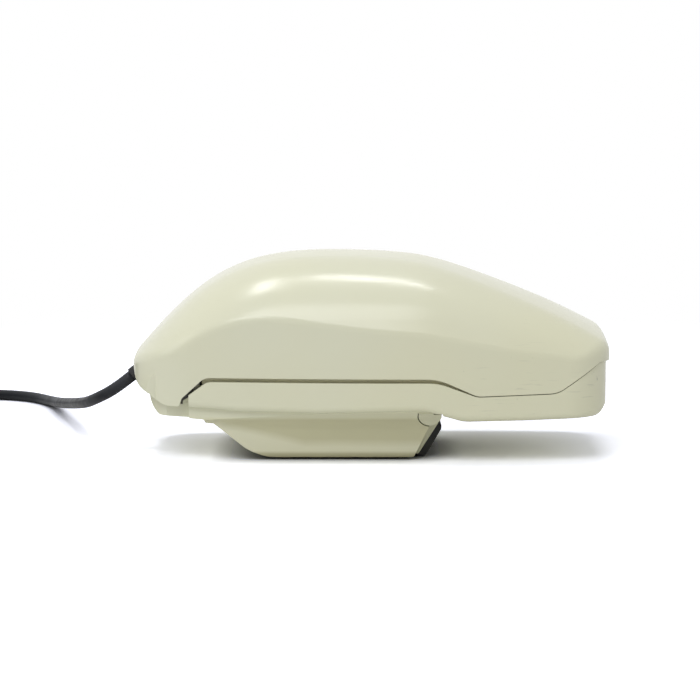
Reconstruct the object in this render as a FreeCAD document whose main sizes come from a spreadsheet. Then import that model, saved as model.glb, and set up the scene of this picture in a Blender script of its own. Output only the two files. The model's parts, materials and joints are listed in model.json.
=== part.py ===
import FreeCAD, Part
import math
import os
import Sketcher
from FreeCAD import Placement, Rotation, Vector

# A folding telephone, closed and standing on a table. The frame's origin is under the middle of the
# telephone on the table, +X runs from the hinge to the earpiece end, +Z is up. Sizes are in millimetres.
# The lower half, the flap, stands on the table. The upper half, the body, turns up about the hinge.

SIZES = {
    # shells
    "half_length": 81.1,
    "wall": 2.2,
    "crown_round": 5.5,
    "rear_corner": 24.0,
    "front_corner": 15.0,
    "rear_half_width": 33.5,
    "middle_half_width": 41.5,
    "front_half_width": 38.6,
    "tip_step": 1.1,
    "seam_gap": 1.4,
    "seam_hairline": 0.3,
    "foot_height": 0.6,
    "band_round": 2.2,
    "hull_step": 2.9,
    # hinge
    "hinge_x": -65.9,
    "hinge_z": 22.9,
    "barrel_radius": 9.0,
    "barrel_half": 30.4,
    "barrel_hollow": 6.4,
    "barrel_gap": 0.4,
    "groove_y": 20.0,
    "groove_depth": 1.0,
    "groove_width": 1.8,
    "rib_width": 1.0,
    "rib_top": 5.0,
    "cheek_inside": 31.0,
    "pin_radius": 2.0,
    "pin_length": 66.0,
    "bush_radius": 3.6,
    "bush_bore": 2.06,
    "bush_length": 3.0,
    "spring_inner": 4.0,
    "spring_outer": 5.6,
    "spring_length": 44.0,
    # dial
    "dial_x": -17.0,
    "face_level": 29.4,
    "plate": 2.0,
    "ring_radius": 29.5,
    "ring_bore": 3.06,
    "ring_thickness": 1.0,
    "ring_level": 28.4,
    "wheel_radius": 27.5,
    "wheel_thickness": 2.2,
    "wheel_level": 25.7,
    "finger_radius": 4.6,
    "finger_pitch": 20.8,
    "cap_radius": 10.5,
    "cap_thickness": 1.2,
    "cap_level": 24.5,
    "shaft_radius": 3.0,
    "shaft_length": 20.3,
    "frame_radius": 27.0,
    "frame_thickness": 1.6,
    "frame_level": 31.4,
    "bridge_thickness": 1.4,
    "bridge_level": 44.0,
    "bridge_pillar": 1.6,
    "pillar_pitch": 24.8,
    "gear_thickness": 1.6,
    "gear_level": 35.6,
    "gear_bore": 3.0,
    "drum_outer": 9.0,
    "drum_inner": 4.0,
    "drum_height": 1.6,
    "cam_radius": 12.6,
    "cam_thickness": 1.2,
    "cam_level": 39.6,
    "cam_notch": 1.2,
    "cam_notch_pitch": 12.9,
    "governor_pitch": 22.0,
    "governor_shaft": 1.0,
    "pivot_bore": 1.06,
    "governor_length": 13.4,
    "weight_radius": 5.6,
    "weight_height": 2.6,
    "weight_level": 39.6,
    "cup_inner": 6.4,
    "cup_outer": 7.4,
    "cup_height": 5.2,
    # earpiece
    "ear_x": 54.0,
    "ear_face": 24.4,
    "ear_radius": 18.0,
    "ear_height": 10.0,
    "ear_step": 15.0,
    "gasket_thickness": 1.0,
    "gasket_inner": 14.0,
    "sound_hole": 1.1,
    "clamp_width": 9.0,
    "clamp_thickness": 1.0,
    # electrical pieces
    "board_length": 64.0,
    "board_width": 46.0,
    "board_thickness": 1.6,
    "board_level": 48.4,
    "board_x": -14.0,
    "board_pillar": 2.2,
    "coil_length": 20.0,
    "coil_width": 16.0,
    "coil_height": 11.0,
    "capacitor_radius": 4.6,
    "capacitor_length": 18.0,
    "terminal_length": 8.0,
    "terminal_width": 24.0,
    "terminal_height": 6.0,
    # screws
    "screw_head": 2.7,
    "screw_head_height": 1.3,
    "screw_shank": 1.25,
    "screw_length": 9.0,
    "boss_radius": 3.0,
    "boss_hole": 1.3,
    # flap
    "cover_level": 20.4,
    "cover_thickness": 1.6,
    "cover_round": 8.0,
    "mic_x": -3.0,
    "mic_radius": 13.0,
    "mic_height": 8.0,
    "mic_gasket_inner": 10.0,
    "foot_radius": 3.5,
    "foot_thickness": 1.2,
    "small_screw_head": 2.2,
    "small_head_height": 0.9,
    "small_screw_shank": 0.9,
    "small_screw_length": 5.0,
    # rocker in the belly's slanted end
    "rocker_x": 20.1,
    "rocker_z": 16.2,
    "rocker_ear": 3.9,
    "rocker_top": 16.7,
    "rocker_half": 29.0,
    "rocker_pin": 1.0,
    "rocker_bore": 1.06,
    "pad_half": 21.0,
    # cord
    "cord_radius": 2.0,
    "gland_radius": 2.6,
    "gland_length": 6.5,
    "coil_outer": 28.0,
    "coil_pitch": 4.9,
    "coil_layer": 4.8,
    "coil_bulge": 0.9,
    "coil_lead": 4.0,
    "plug_length": 42.0,
    "plug_width": 30.0,
    "plug_depth": 20.0,
    "plug_pin_radius": 2.0,
    "plug_pin_length": 16.0,
}

doc = FreeCAD.newDocument("folding_telephone")
sheet = doc.addObject("Spreadsheet::Sheet", "Sizes")
for row, (alias, amount) in enumerate(SIZES.items(), start=1):
    sheet.set(f"A{row}", alias)
    sheet.set(f"B{row}", str(amount))
    sheet.setAlias(f"B{row}", alias)
doc.recompute()


def size(alias):
    return float(sheet.get(alias))


def cell(alias):
    return "Sizes." + alias


# Axis directions for primitives, which are made standing along +Z.
UPRIGHT = Rotation()
ALONG_Y = Rotation(Vector(1, 0, 0), -90)
UP = Vector(0, 0, 1)

node_objects = []


def node(thing, label):
    """Marks a document object as one sub-part, under the name of its file."""
    thing.Label = label
    node_objects.append(thing)
    return thing


def shaped(label, shape):
    """A sub-part whose form is made here in code."""
    thing = doc.addObject("Part::Feature", label)
    thing.Shape = shape
    thing.Placement = Placement()
    return node(thing, label)


# Parametric primitives and booleans


def cylinder(name, radius, height, place, turn=UPRIGHT):
    thing = doc.addObject("Part::Cylinder", name)
    thing.setExpression("Radius", cell(radius))
    thing.setExpression("Height", cell(height))
    thing.Placement = Placement(Vector(*place), turn)
    return thing


def box(name, length, width, height, middle):
    """A box whose base is centred on the given point."""
    thing = doc.addObject("Part::Box", name)
    thing.setExpression("Length", cell(length))
    thing.setExpression("Width", cell(width))
    thing.setExpression("Height", cell(height))
    low = Vector(middle[0] - size(length) / 2, middle[1] - size(width) / 2, middle[2])
    thing.Placement = Placement(low, UPRIGHT)
    return thing


def cut(name, base, tool):
    thing = doc.addObject("Part::Cut", name)
    thing.Base = base
    thing.Tool = tool
    return thing


def ring(name, outer, inner, height, place, turn=UPRIGHT):
    outside = cylinder(name + "_outside", outer, height, place, turn)
    inside = cylinder(name + "_inside", inner, height, place, turn)
    return cut(name, outside, inside)


def group(name, pieces):
    """Separate solids that share one node, such as a set of screws."""
    thing = doc.addObject("Part::Compound", name)
    thing.Links = pieces
    return thing


# PartDesign bodies


def new_body(name, place):
    body = doc.addObject("PartDesign::Body", name)
    body.Placement = Placement(Vector(*place), UPRIGHT)
    return body


def sketch_on(body, name, role):
    plane = next(part for part in body.Origin.OriginFeatures if part.Role == role)
    sketch = body.newObject("Sketcher::SketchObject", name)
    sketch.AttachmentSupport = [(plane, "")]
    sketch.MapMode = "FlatFace"
    return sketch


def bind(sketch, constraint, alias):
    index = sketch.addConstraint(constraint)
    sketch.setExpression(f"Constraints[{index}]", cell(alias))


def sketch_circle(sketch, radius, along=None):
    """A circle about the sketch's origin, or at a bound distance along its horizontal axis."""
    away = size(along) if along else 0.0
    circle = sketch.addGeometry(Part.Circle(Vector(away, 0, 0), UP, size(radius)), False)
    bind(sketch, Sketcher.Constraint("Radius", circle, size(radius)), radius)
    if along:
        sketch.addConstraint(Sketcher.Constraint("PointOnObject", circle, 3, -1))
        bind(sketch, Sketcher.Constraint("DistanceX", -1, 1, circle, 3, away), along)
    else:
        sketch.addConstraint(Sketcher.Constraint("Coincident", circle, 3, -1, 1))
    return circle


def pad(body, sketch, name, length):
    feature = body.newObject("PartDesign::Pad", name)
    feature.Profile = sketch
    feature.setExpression("Length", cell(length))
    return feature


def pocket_through(body, sketch, name):
    """A cut right through the body along the sketch's normal, both ways."""
    feature = body.newObject("PartDesign::Pocket", name)
    feature.Profile = sketch
    feature.Type = "ThroughAll"
    feature.Midplane = True
    return feature


def polar(body, feature, name, count, angle):
    pattern = body.newObject("PartDesign::PolarPattern", name)
    pattern.Originals = [feature]
    axis = next(part for part in body.Origin.OriginFeatures if part.Role == "Z_Axis")
    pattern.Axis = (axis, [""])
    pattern.Angle = angle
    pattern.Occurrences = count
    body.Tip = pattern
    return pattern


# Plain shapes made in code, for the moulded shells


def at(x, z, y=0.0):
    return Vector(x, y, z)


def line(a, b):
    return Part.LineSegment(a, b).toShape()


def arc(a, through, b):
    return Part.Arc(a, through, b).toShape()


def rounded_path(points, radii):
    """Straight runs joined by tangent arcs of the given radii at the inner points."""
    edges, last = [], points[0]
    for before, corner, after, radius in zip(points, points[1:-1], points[2:], radii):
        back, ahead = (before - corner).normalize(), (after - corner).normalize()
        half_turn = (math.pi - back.getAngle(ahead)) / 2
        reach = radius * math.tan(half_turn)
        start, stop = corner + back * reach, corner + ahead * reach
        inward = (back + ahead).normalize()
        middle = corner + inward * (radius / math.cos(half_turn) - radius)
        if (start - last).Length > 1e-6:
            edges.append(line(last, start))
        edges.append(arc(start, middle, stop))
        last = stop
    edges.append(line(last, points[-1]))
    return edges


def slab(edges, low_z, high_y=60.0):
    """The space above (or below) an outline in the XZ plane, closed at the level low_z."""
    begin = edges[0].Vertexes[0].Point
    end = edges[-1].Vertexes[-1].Point
    sides = [line(end, at(end.x, low_z)), line(at(end.x, low_z), at(begin.x, low_z)),
             line(at(begin.x, low_z), begin)]
    face = Part.Face(Part.Wire(edges + sides))
    solid = face.extrude(Vector(0, 2 * high_y, 0))
    solid.translate(Vector(0, -high_y, 0))
    return solid


def block(x0, x1, y0, y1, z0, z1):
    return Part.makeBox(x1 - x0, y1 - y0, z1 - z0, Vector(x0, y0, z0))


def rod(radius, start, end):
    return Part.makeCylinder(radius, (end - start).Length, start, end - start)


def upright_edges(solid):
    """The straight edges that run along Z."""
    return [e for e in solid.Edges if e.BoundBox.XLength < 1e-3 and e.BoundBox.YLength < 1e-3]


# The top line of the closed telephone in its middle plane, from the hinge end to the earpiece end.
TOP_LINE = [(-91.3, 23.4), (-81.3, 34.4), (-71.2, 45.5), (-60.8, 55.2), (-47.8, 63.4), (-29.4, 68.4),
            (-8.5, 69.3), (12.4, 68.2), (33.3, 63.1), (56.8, 54.2), (79.2, 43.6), (92.7, 36.9)]
CROWN_BOW = 150.0
CROWN_END = math.radians(70)


def crown_radius(x):
    """The rounding across the back is broad over the hinge half and tighter towards the earpiece."""
    return 30.0 if x < 0 else 30.0 - 16.0 * x / 92.0


def crown_section(x, top, inset):
    """One cross-section of the back: a nearly flat top, two round shoulders and steep sides."""
    radius = crown_radius(x) - inset
    flat = size("middle_half_width") + 1.5 - inset - radius * math.sin(CROWN_END)
    lean = math.asin(flat / CROWN_BOW)
    shoulder = top - CROWN_BOW * (1 - math.cos(lean))
    centre_y = flat - radius * math.sin(lean)
    centre_z = shoulder - radius * math.cos(lean)

    def on_arc(angle):
        return centre_y + radius * math.sin(angle), centre_z + radius * math.cos(angle)

    def point(y, z):
        return Vector(x, y, z)

    y_mid, z_mid = on_arc((lean + CROWN_END) / 2)
    y_end, z_end = on_arc(CROWN_END)
    y_base = y_end + z_end / math.tan(CROWN_END)
    return Part.Wire([
        line(point(-y_base, 0), point(-y_end, z_end)),
        arc(point(-y_end, z_end), point(-y_mid, z_mid), point(-flat, shoulder)),
        arc(point(-flat, shoulder), point(0, top), point(flat, shoulder)),
        arc(point(flat, shoulder), point(y_mid, z_mid), point(y_end, z_end)),
        line(point(y_end, z_end), point(y_base, 0)),
        line(point(y_base, 0), point(-y_base, 0)),
    ])


def plan(inset, low, high, front_step=0.0):
    """An upright block with the telephone's outline from above, smaller all round by inset."""
    rear = -size("half_length") + inset
    front = size("half_length") - inset - front_step
    wide = [size("rear_half_width") - inset, size("middle_half_width") - inset,
            size("front_half_width") - inset]

    def side(sign):
        a, b, c = (Vector(x, sign * y, low) for x, y in zip((rear, 6.0, front), wide))
        return (a, b, c) if sign > 0 else (c, b, a)

    left, right = side(1), side(-1)
    outline = [arc(*left), line(left[2], right[0]), arc(*right), line(right[2], left[0])]
    solid = Part.Face(Part.Wire(outline)).extrude(Vector(0, 0, high - low))
    rear_edges = [e for e in upright_edges(solid) if e.Vertexes[0].X < 0]
    solid = solid.makeFillet(size("rear_corner") - inset, rear_edges)
    front_edges = [e for e in upright_edges(solid) if e.Vertexes[0].X > front - 1e-3
                   and abs(e.Vertexes[0].Y) > wide[2] - 1.0]
    return solid.makeFillet(size("front_corner") - inset, front_edges)


def inset_line(inset):
    """The top line moved inwards along its normal."""
    moved = []
    for k, (x, z) in enumerate(TOP_LINE):
        before, after = TOP_LINE[max(k - 1, 0)], TOP_LINE[min(k + 1, len(TOP_LINE) - 1)]
        along = Vector(after[0] - before[0], 0, after[1] - before[1]).normalize()
        moved.append((x + inset * along.z, z - inset * along.x))
    return moved


# The last two places of the cavity's roof, behind the thick earpiece tip.
ROOF_TIP = [(72.2, 44.5), (80.0, 36.7)]


def cavity(gap):
    """The room inside the back shell, smaller by gap: ruled between few stations, and lower at the tip."""
    inset = size("wall") + gap
    roof = inset_line(inset)
    stations = [roof[k] for k in (1, 2, 4, 6, 8)] + [(x - gap, z - 2 * gap) for x, z in ROOF_TIP]
    room = Part.makeLoft([crown_section(x, z, inset) for x, z in stations], True, True)
    return room.common(plan(inset, 5.0, 90.0))


def envelope(low):
    """The closed telephone's outside above the level low."""
    back = Part.makeLoft([crown_section(x, z, 0.0) for x, z in TOP_LINE], True, False)
    solid = back.common(plan(0.0, low, 90.0))
    walls = [f for f in solid.Faces if abs(f.normalAt(*f.Surface.parameter(f.CenterOfMass)).z) < 0.1]

    def on_rim(edge):
        if edge.BoundBox.ZMin < low + 0.5 or edge in upright_edges(solid):
            return False
        return sum(any(edge.isSame(e) for e in f.Edges) for f in walls) == 1

    upright = upright_edges(solid)
    rim = [e for e in solid.Edges if on_rim(e) and not any(e.isSame(u) for u in upright)]
    return solid.makeFillet(size("crown_round"), rim)


# The seam between the halves, an outline seen from the side.
HINGE = at(size("hinge_x"), size("hinge_z"))


def seam(drop):
    """The lower edge of the body's shell, moved down by drop where the flap's edge follows it."""
    left = 0.6 * drop
    level = 29.2 - drop
    least = min(drop, size("seam_hairline"))
    points = [at(-84.6, 43.0), at(-79.5, 25.3), at(-69.2, 19.4), at(-64.2, 19.4), at(-63.4 + left, 22.0),
              at(-55.6 + left, level), at(22.7, level), at(35.7, 23.4 - least), at(62.7, 24.4 - least),
              at(77.1, 34.3 - least), at(95, 34.3 - least)]
    return rounded_path(points, [6.0, 8.0, 0.8, 1.6, 5.0, 18.0, 7.0, 9.0, 3.0])


def band_bottom():
    """The lower edge of the flap's side band, turned up at the earpiece end."""
    points = [at(-95, 21.4), at(-44.0, 17.9), at(-17.3, 17.4), at(18.2, 18.3),
              at(31.2, 14.7), at(52.7, 15.1), at(76.5, 15.9), at(84.5, 23.9)]
    return rounded_path(points, [60.0, 60.0, 14.0, 14.0, 60.0, 4.5])


def face_line(rise):
    """The underside of the body's face: flat under the dial, lower at the earpiece."""
    points = [at(-95, size("face_level") + rise), at(17.5, size("face_level") + rise),
              at(33.5, size("ear_face") + rise), at(95, size("ear_face") + rise)]
    return rounded_path(points, [16.0, 16.0])


def back_shell():
    outside = envelope(10.0)
    inside = cavity(0.0)
    cheek = size("cheek_inside")
    for sign in (-1, 1):
        low_y, high_y = sorted((sign * cheek, sign * 60))
        inside = inside.cut(block(-90, -61, low_y, high_y, 0, 34))
    shell = outside.cut(inside)
    top = 62.0
    for x, y in BODY_SCREWS:
        floor = face_height(x) + size("plate")
        post = Part.makeCylinder(size("boss_radius"), top - floor, Vector(x, y, floor))
        hole = Part.makeCylinder(size("boss_hole"), size("screw_length") + 2, Vector(x, y, floor - 1))
        shell = shell.fuse(post.common(cavity(-1.0))).cut(hole)
    shell = shell.common(slab(seam(0.0), 90.0))
    barrel = hinge_rod(size("barrel_radius") + size("barrel_gap"), 0, 2 * cheek)
    pin = hinge_rod(size("pin_radius"), 0, size("pin_length"))
    gland = rod(size("gland_radius") + 0.1, GLAND_FACE, GLAND_FACE - GLAND_OUT * 30)
    gland_mouth = rod(size("gland_radius") + 0.1, GLAND_FACE, GLAND_FACE + GLAND_OUT * 5)
    shell = shell.cut(barrel).fuse(barrel_ribs(outside)).cut(pin)
    return shell.cut(gland).cut(gland_mouth)


def hinge_rod(radius, middle_y, width):
    """A disc or rod about the hinge's axis."""
    return rod(radius, HINGE + Vector(0, middle_y - width / 2, 0), HINGE + Vector(0, middle_y + width / 2, 0))


def barrel_ribs(outside):
    """Two ribs on the shell's rear wall that run in grooves of the hinge barrel and guide the flap."""
    ribs = []
    tip = size("barrel_radius") - size("groove_depth") + size("barrel_gap")
    for side in (-1, 1):
        ring_solid = hinge_rod(size("barrel_radius") + 6.0, side * size("groove_y"), size("rib_width"))
        ring_solid = ring_solid.cut(hinge_rod(tip, side * size("groove_y"), 2 * size("rib_width")))
        room = block(-90.0, HINGE.x - 4.0, -60, 60, 0, HINGE.z + size("rib_top"))
        ribs.append(ring_solid.common(room).common(outside).common(slab(seam(0.0), 90.0)))
    return Part.makeCompound(ribs)


BODY_SCREWS = [(-47.0, 27.0), (-47.0, -27.0), (38.5, 31.5), (38.5, -31.5)]
EAR_CLAMP_Y = 20.5


def face_height(x):
    """The height of the face's underside at a place along the telephone."""
    return size("face_level") if x < 25.0 else size("ear_face")


# Where the cord leaves the body, and the way it points there.
GLAND_FACE = Vector(-82.7, 0, 25.6)
GLAND_OUT = Vector(-1, 0, -0.8).normalize()


def face_plate():
    inset = size("wall") + 0.4
    start = size("hinge_x") + 9.4
    area = plan(inset, 5.0, 33.0, size("tip_step") + 0.3).common(block(start, 90, -60, 60, 0, 70))
    field = area.common(slab(face_line(0.0), 90.0)).cut(slab(face_line(size("plate")), 90.0))
    core = plan(inset + 1.8, 5.0, 70.0, size("tip_step") + 0.3)
    rim = area.cut(core).common(slab(face_line(-2.6), 90.0)).cut(slab(seam(-3.0), 90.0))
    half = size("barrel_half")
    round_barrel = hinge_rod(size("barrel_radius") + 0.5, 0, 2 * half)
    trough = hinge_rod(size("barrel_radius") + 2.1, 0, 2 * half).cut(round_barrel)
    keep = Part.Face(Part.Wire([
        line(HINGE, HINGE + at(22, 13.2)), line(HINGE + at(22, 13.2), HINGE + at(0, 30)),
        line(HINGE + at(0, 30), HINGE + at(-18, 13)), line(HINGE + at(-18, 13), HINGE)]))
    wedge = keep.extrude(Vector(0, 2 * half, 0))
    wedge.translate(Vector(0, -half, 0))
    slot = block(-95, HINGE.x - 1.0, -3.4, 3.4, 20, 60)
    trough = trough.common(wedge).common(cavity(0.4)).cut(slot)
    level = size("face_level")
    tongue = block(HINGE.x + 6.0, start + 0.5, -half, half, level, level + size("plate"))
    plate = field.fuse(rim).fuse(trough).fuse(tongue.cut(round_barrel))
    for x, y in BODY_SCREWS:
        plate = plate.cut(Part.makeCylinder(1.5, 12, Vector(x, y, face_height(x) - 5)))
    centre = Vector(size("dial_x"), 0, 20)
    plate = plate.cut(Part.makeCylinder(9.0, 20, centre))
    stop = finger_stop_place()
    plate = plate.cut(Part.makeCylinder(1.0, 20, Vector(stop.x, stop.y, 20)))
    return cut_sound_holes(plate, size("ear_x"), size("sound_hole"), [(0, 1), (5.0, 6), (10.0, 12)])


def cut_sound_holes(plate, x, radius, rings):
    """Rings of small holes about a place on the middle line: each ring is (distance, number)."""
    drills = []
    for distance, number in rings:
        for k in range(number):
            turn = 2 * math.pi * k / number
            drills.append(Part.makeCylinder(radius, 40, Vector(x + distance * math.cos(turn),
                                                              distance * math.sin(turn), 5)))
    return plate.cut(Part.makeCompound(drills))


def finger_stop_place():
    turn = math.radians(105)
    reach = size("wheel_radius") + 3.4
    return Vector(size("dial_x") + reach * math.cos(turn), reach * math.sin(turn), 0)


def finger_stop():
    """A small steel hook on the face, whose tip reaches over the finger wheel."""
    foot = finger_stop_place()
    level = size("wheel_level") - 1.0
    turn = math.radians(105)
    inward = Vector(-math.cos(turn), -math.sin(turn), 0)
    top = size("face_level") + size("plate")
    stem = rod(1.0, Vector(foot.x, foot.y, level - 0.5), Vector(foot.x, foot.y, top))
    tip_start = Vector(foot.x, foot.y, level - 0.25)
    tip = rod(0.75, tip_start, tip_start + inward * 9.0)
    return stem.fuse(tip)


# The flap, whose band and belly start at the neck, just clear of the turning cheeks

NECK_X = -61.0
# The nearly level underside of the barrel and the neck.
NECK_LINE = line(at(-95.0, 17.2), at(-54.7, 14.6))


def flap_shell():
    wall = size("wall")
    step = size("tip_step")
    band_area = plan(0.0, 5.0, 60.0, step).common(block(NECK_X, 90, -60, 60, 0, 60))
    band = band_area.cut(slab(seam(size("seam_gap")), 90.0)).common(slab(band_bottom(), 90.0))
    band = band.makeFillet(size("band_round"), lower_rim(band))
    hull = hull_solid(0.0)
    barrel = hinge_rod(size("barrel_radius"), 0, 2 * size("barrel_half"))
    barrel = barrel.common(plan(size("hull_step") - 0.2, 5.0, 40.0)).common(slab([NECK_LINE], 90.0))
    bridge = bridge_solid()
    shell = band.fuse(hull).fuse(bridge).fuse(barrel).cut(guide_grooves())
    # the tray, open at the top, and the hollow of the belly under it
    tray = plan(wall, 5.0, 60.0, step).common(slab(tray_floor(), 90.0))
    tray = tray.common(block(size("hinge_x") + 9.6, 90, -60, 60, 0, 60))
    shell = shell.cut(tray).cut(belly_hollow())
    # the hollow of the hinge barrel, and its bores
    hollow = hinge_rod(size("barrel_hollow"), 0, 2 * (size("barrel_half") - size("bush_length")))
    bores = hinge_rod(size("bush_radius"), 0, 2 * size("barrel_half") + 10.0)
    shell = shell.cut(hollow).cut(bores)
    for x, y in COVER_SCREWS:
        depth = size("small_screw_length")
        low = size("cover_level") - depth + 1
        hole = Part.makeCylinder(size("small_screw_shank") + 0.05, depth, Vector(x, y, low))
        shell = shell.cut(hole)
    for x, y in FEET:
        seat = Part.makeCylinder(size("foot_radius") + 0.05, 0.65, Vector(x, y, size("foot_height") - 0.05))
        shell = shell.cut(seat)
    return shell.cut(rocker_space())


def guide_grooves():
    """The two grooves round the hinge barrel, open as far as the shell's ribs turn in them."""
    grooves = []
    for side in (-1, 1):
        middle, width = side * size("groove_y"), size("groove_width")
        outer = hinge_rod(size("barrel_radius") + 2.0, middle, width)
        floor = hinge_rod(size("barrel_radius") - size("groove_depth"), middle, width)
        grooves.append(outer.cut(floor).common(block(-90.0, HINGE.x + 5.0, -60, 60, 0, 60)))
    return Part.makeCompound(grooves)


def lower_rim(band):
    """The edges between the band's walls and its underside, without those at the neck."""
    chosen = []
    for edge in band.Edges:
        faces = band.ancestorsOfType(edge, Part.Face)
        slopes = [abs(f.normalAt(*f.Surface.parameter(f.CenterOfMass)).z) for f in faces]
        middle = edge.valueAt((edge.FirstParameter + edge.LastParameter) / 2)
        if min(slopes) < 0.01 and max(slopes) > 0.5 and middle.z < 20.0 and middle.x > NECK_X + 0.1:
            chosen.append(edge)
    return chosen


def tray_floor():
    """The tray's inner floor: level over the belly and lower under the earpiece."""
    deck = size("cover_level")
    points = [at(-95, deck), at(17.5, deck), at(31.0, 16.9), at(52.0, 17.3), at(75.8, 18.2), at(84.0, 26.4)]
    return rounded_path(points, [20.0, 20.0, 60.0, 2.5])


def belly_line(inset):
    """The underside from the hinge barrel to the slanted end of the belly."""
    foot = size("foot_height") + inset
    return [at(-65.9, 15.3 + inset), at(-54.7 + inset / 2, 14.6 + inset), at(-41.6 + inset, 3.6 + inset),
            at(-34.3 + inset / 2, foot), at(14.7 - inset / 2, foot), at(23.1 - inset, 18.6)]


def hull_solid(inset):
    """The belly: a section that flares into the band, cut to the underside's outline."""
    deck = size("cover_level")
    under = rounded_path(belly_line(inset), [8.0, 14.0, 16.0, 1.5])
    end, begin = under[-1].Vertexes[-1].Point, under[0].Vertexes[0].Point
    lid = [line(end, at(end.x, deck)), line(at(end.x, deck), at(begin.x, deck)), line(at(begin.x, deck), begin)]
    side = Part.Face(Part.Wire(under + lid)).extrude(Vector(0, 120, 0))
    side.translate(Vector(0, -60, 0))
    area = plan(size("hull_step") + inset, 0.0, 30.0).cut(block(-90, NECK_X, -60, 60, -1, 60))
    return hull_bar(inset).common(side).common(area)


def hull_bar(inset):
    """The belly's cross-section, flared under the band and drawn out along the telephone."""
    wide = size("middle_half_width") - size("hull_step") - inset
    foot = size("foot_height") + inset
    deck = size("cover_level")
    half = [(wide, deck), (wide, 17.6), (31.6 - inset, 13.0), (27.6 - inset, foot)]
    right = [Vector(-80, y, z) for y, z in half]
    left = [Vector(-80, -y, z) for y, z in reversed(half)]
    edges = rounded_path(right + left, [0.8, 7.0, 3.0, 3.0, 7.0, 0.8])
    section = Part.Face(Part.Wire(edges + [line(left[-1], right[0])]))
    return section.extrude(Vector(110, 0, 0))


def bridge_solid():
    """The neck that joins the belly and the tray to the hinge barrel, between the cheeks."""
    half = size("barrel_half")
    corners = [at(-65.9, 15.3), at(-58.0, 14.85), at(-54.0, 20.4), HINGE + at(5.0, 0)]
    edges = [line(a, b) for a, b in zip(corners, corners[1:] + corners[:1])]
    neck = Part.Face(Part.Wire(edges)).extrude(Vector(0, 2 * half, 0))
    neck.translate(Vector(0, -half, 0))
    return neck


def belly_hollow():
    inner = hull_solid(size("wall"))
    room = block(-49.0, 14.5, -25.5, 25.5, 0, 21)
    return inner.common(room)


def neck_ledge():
    """A small ledge moulded under the neck."""
    edges = rounded_path([at(-57.6, 14.5), at(-56.2, 11.9), at(-53.4, 11.6), at(-52.0, 14.5)], [0.8, 0.8])
    face = Part.Face(Part.Wire(edges + [line(at(-52.0, 14.5), at(-57.6, 14.5))]))
    ledge = face.extrude(Vector(0, 44, 0))
    ledge.translate(Vector(0, -22, 0))
    return ledge


COVER_SCREWS = [(-46.0, 28.4), (-46.0, -28.4), (11.0, 28.4), (11.0, -28.4)]
FEET = [(-24.0, 17.0), (-24.0, -17.0), (6.5, 17.0), (6.5, -17.0)]


def mouthpiece_plate():
    level = size("cover_level")
    plate = block(-51.0, 16.0, -33.0, 33.0, level, level + size("cover_thickness"))
    plate = plate.makeFillet(size("cover_round"), upright_edges(plate))
    top = [e for e in plate.Edges if e.BoundBox.ZMin > level + size("cover_thickness") - 1e-3]
    plate = plate.makeChamfer(0.6, top)
    for x, y in COVER_SCREWS:
        plate = plate.cut(Part.makeCylinder(1.1, 6, Vector(x, y, level - 1)))
    return cut_sound_holes(plate, size("mic_x"), 0.9, [(0, 1), (4.5, 6)])


# The rocker in the slanted end of the belly

ROCKER = at(size("rocker_x"), size("rocker_z"))
SLANT_LOW, SLANT_HIGH = at(14.7, size("foot_height")), at(23.1, 18.6)
SLANT = (SLANT_HIGH - SLANT_LOW).normalize()
SLANT_OUT = Vector(SLANT.z, 0, -SLANT.x)


def slant_slab(front, back, half, low, high):
    """A slab along the slanted end, from front to back measured outwards, between two places up it."""
    a, b = SLANT_LOW + SLANT * low, SLANT_LOW + SLANT * high
    corners = [a + SLANT_OUT * front, b + SLANT_OUT * front, b + SLANT_OUT * back, a + SLANT_OUT * back]
    face = Part.Face(Part.Wire([line(p, q) for p, q in zip(corners, corners[1:] + corners[:1])]))
    solid = face.extrude(Vector(0, 2 * half, 0))
    solid.translate(Vector(0, -half, 0))
    return solid


def rocker_space():
    half = size("rocker_half")
    ears = rod(size("rocker_ear") + 0.35, ROCKER - Vector(0, 45, 0), ROCKER + Vector(0, 45, 0))
    ears = ears.common(block(0, 40, -60, 60, 0, 17.4))
    front = slant_slab(2, -4.6, 24.0, -2, 17.8)
    pin = rod(size("rocker_pin"), ROCKER - Vector(0, half, 0), ROCKER + Vector(0, half, 0))
    return ears.fuse(front).fuse(pin)


def hook_rocker():
    """A bar along the slanted end with a round ear at each side, which shows in the belly's notch."""
    half = size("rocker_half")
    bar = slant_slab(-0.6, -4.0, 23.4, 1.0, 14.0)
    ears = rod(size("rocker_ear"), ROCKER - Vector(0, 45, 0), ROCKER + Vector(0, 45, 0))
    ears = ears.common(hull_bar(0.25)).common(block(0, 40, -60, 60, 0, size("rocker_top")))
    bore = rod(size("rocker_bore"), ROCKER - Vector(0, half + 0.3, 0), ROCKER + Vector(0, half + 0.3, 0))
    return bar.fuse(ears).cut(bore).cut(hook_pad())


def hook_pad():
    """The rubber face of the rocker, bulging outwards."""
    low, high = 0.2, 13.6
    a, b = SLANT_LOW + SLANT * low, SLANT_LOW + SLANT * high
    middle = (a + b) * 0.5 + SLANT_OUT * 3.0 + SLANT * 1.6
    edges = [arc(a + SLANT_OUT * 0.8, middle, b + SLANT_OUT * 1.0), line(b + SLANT_OUT * 1.0, b - SLANT_OUT * 0.6),
             line(b - SLANT_OUT * 0.6, a - SLANT_OUT * 0.6), line(a - SLANT_OUT * 0.6, a + SLANT_OUT * 0.8)]
    half = size("pad_half")
    solid = Part.Face(Part.Wire(edges)).extrude(Vector(0, 2 * half, 0))
    solid.translate(Vector(0, -half, 0))
    return solid.common(block(0, 60, -60, 60, 0.02, 60))


# Gears


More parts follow.
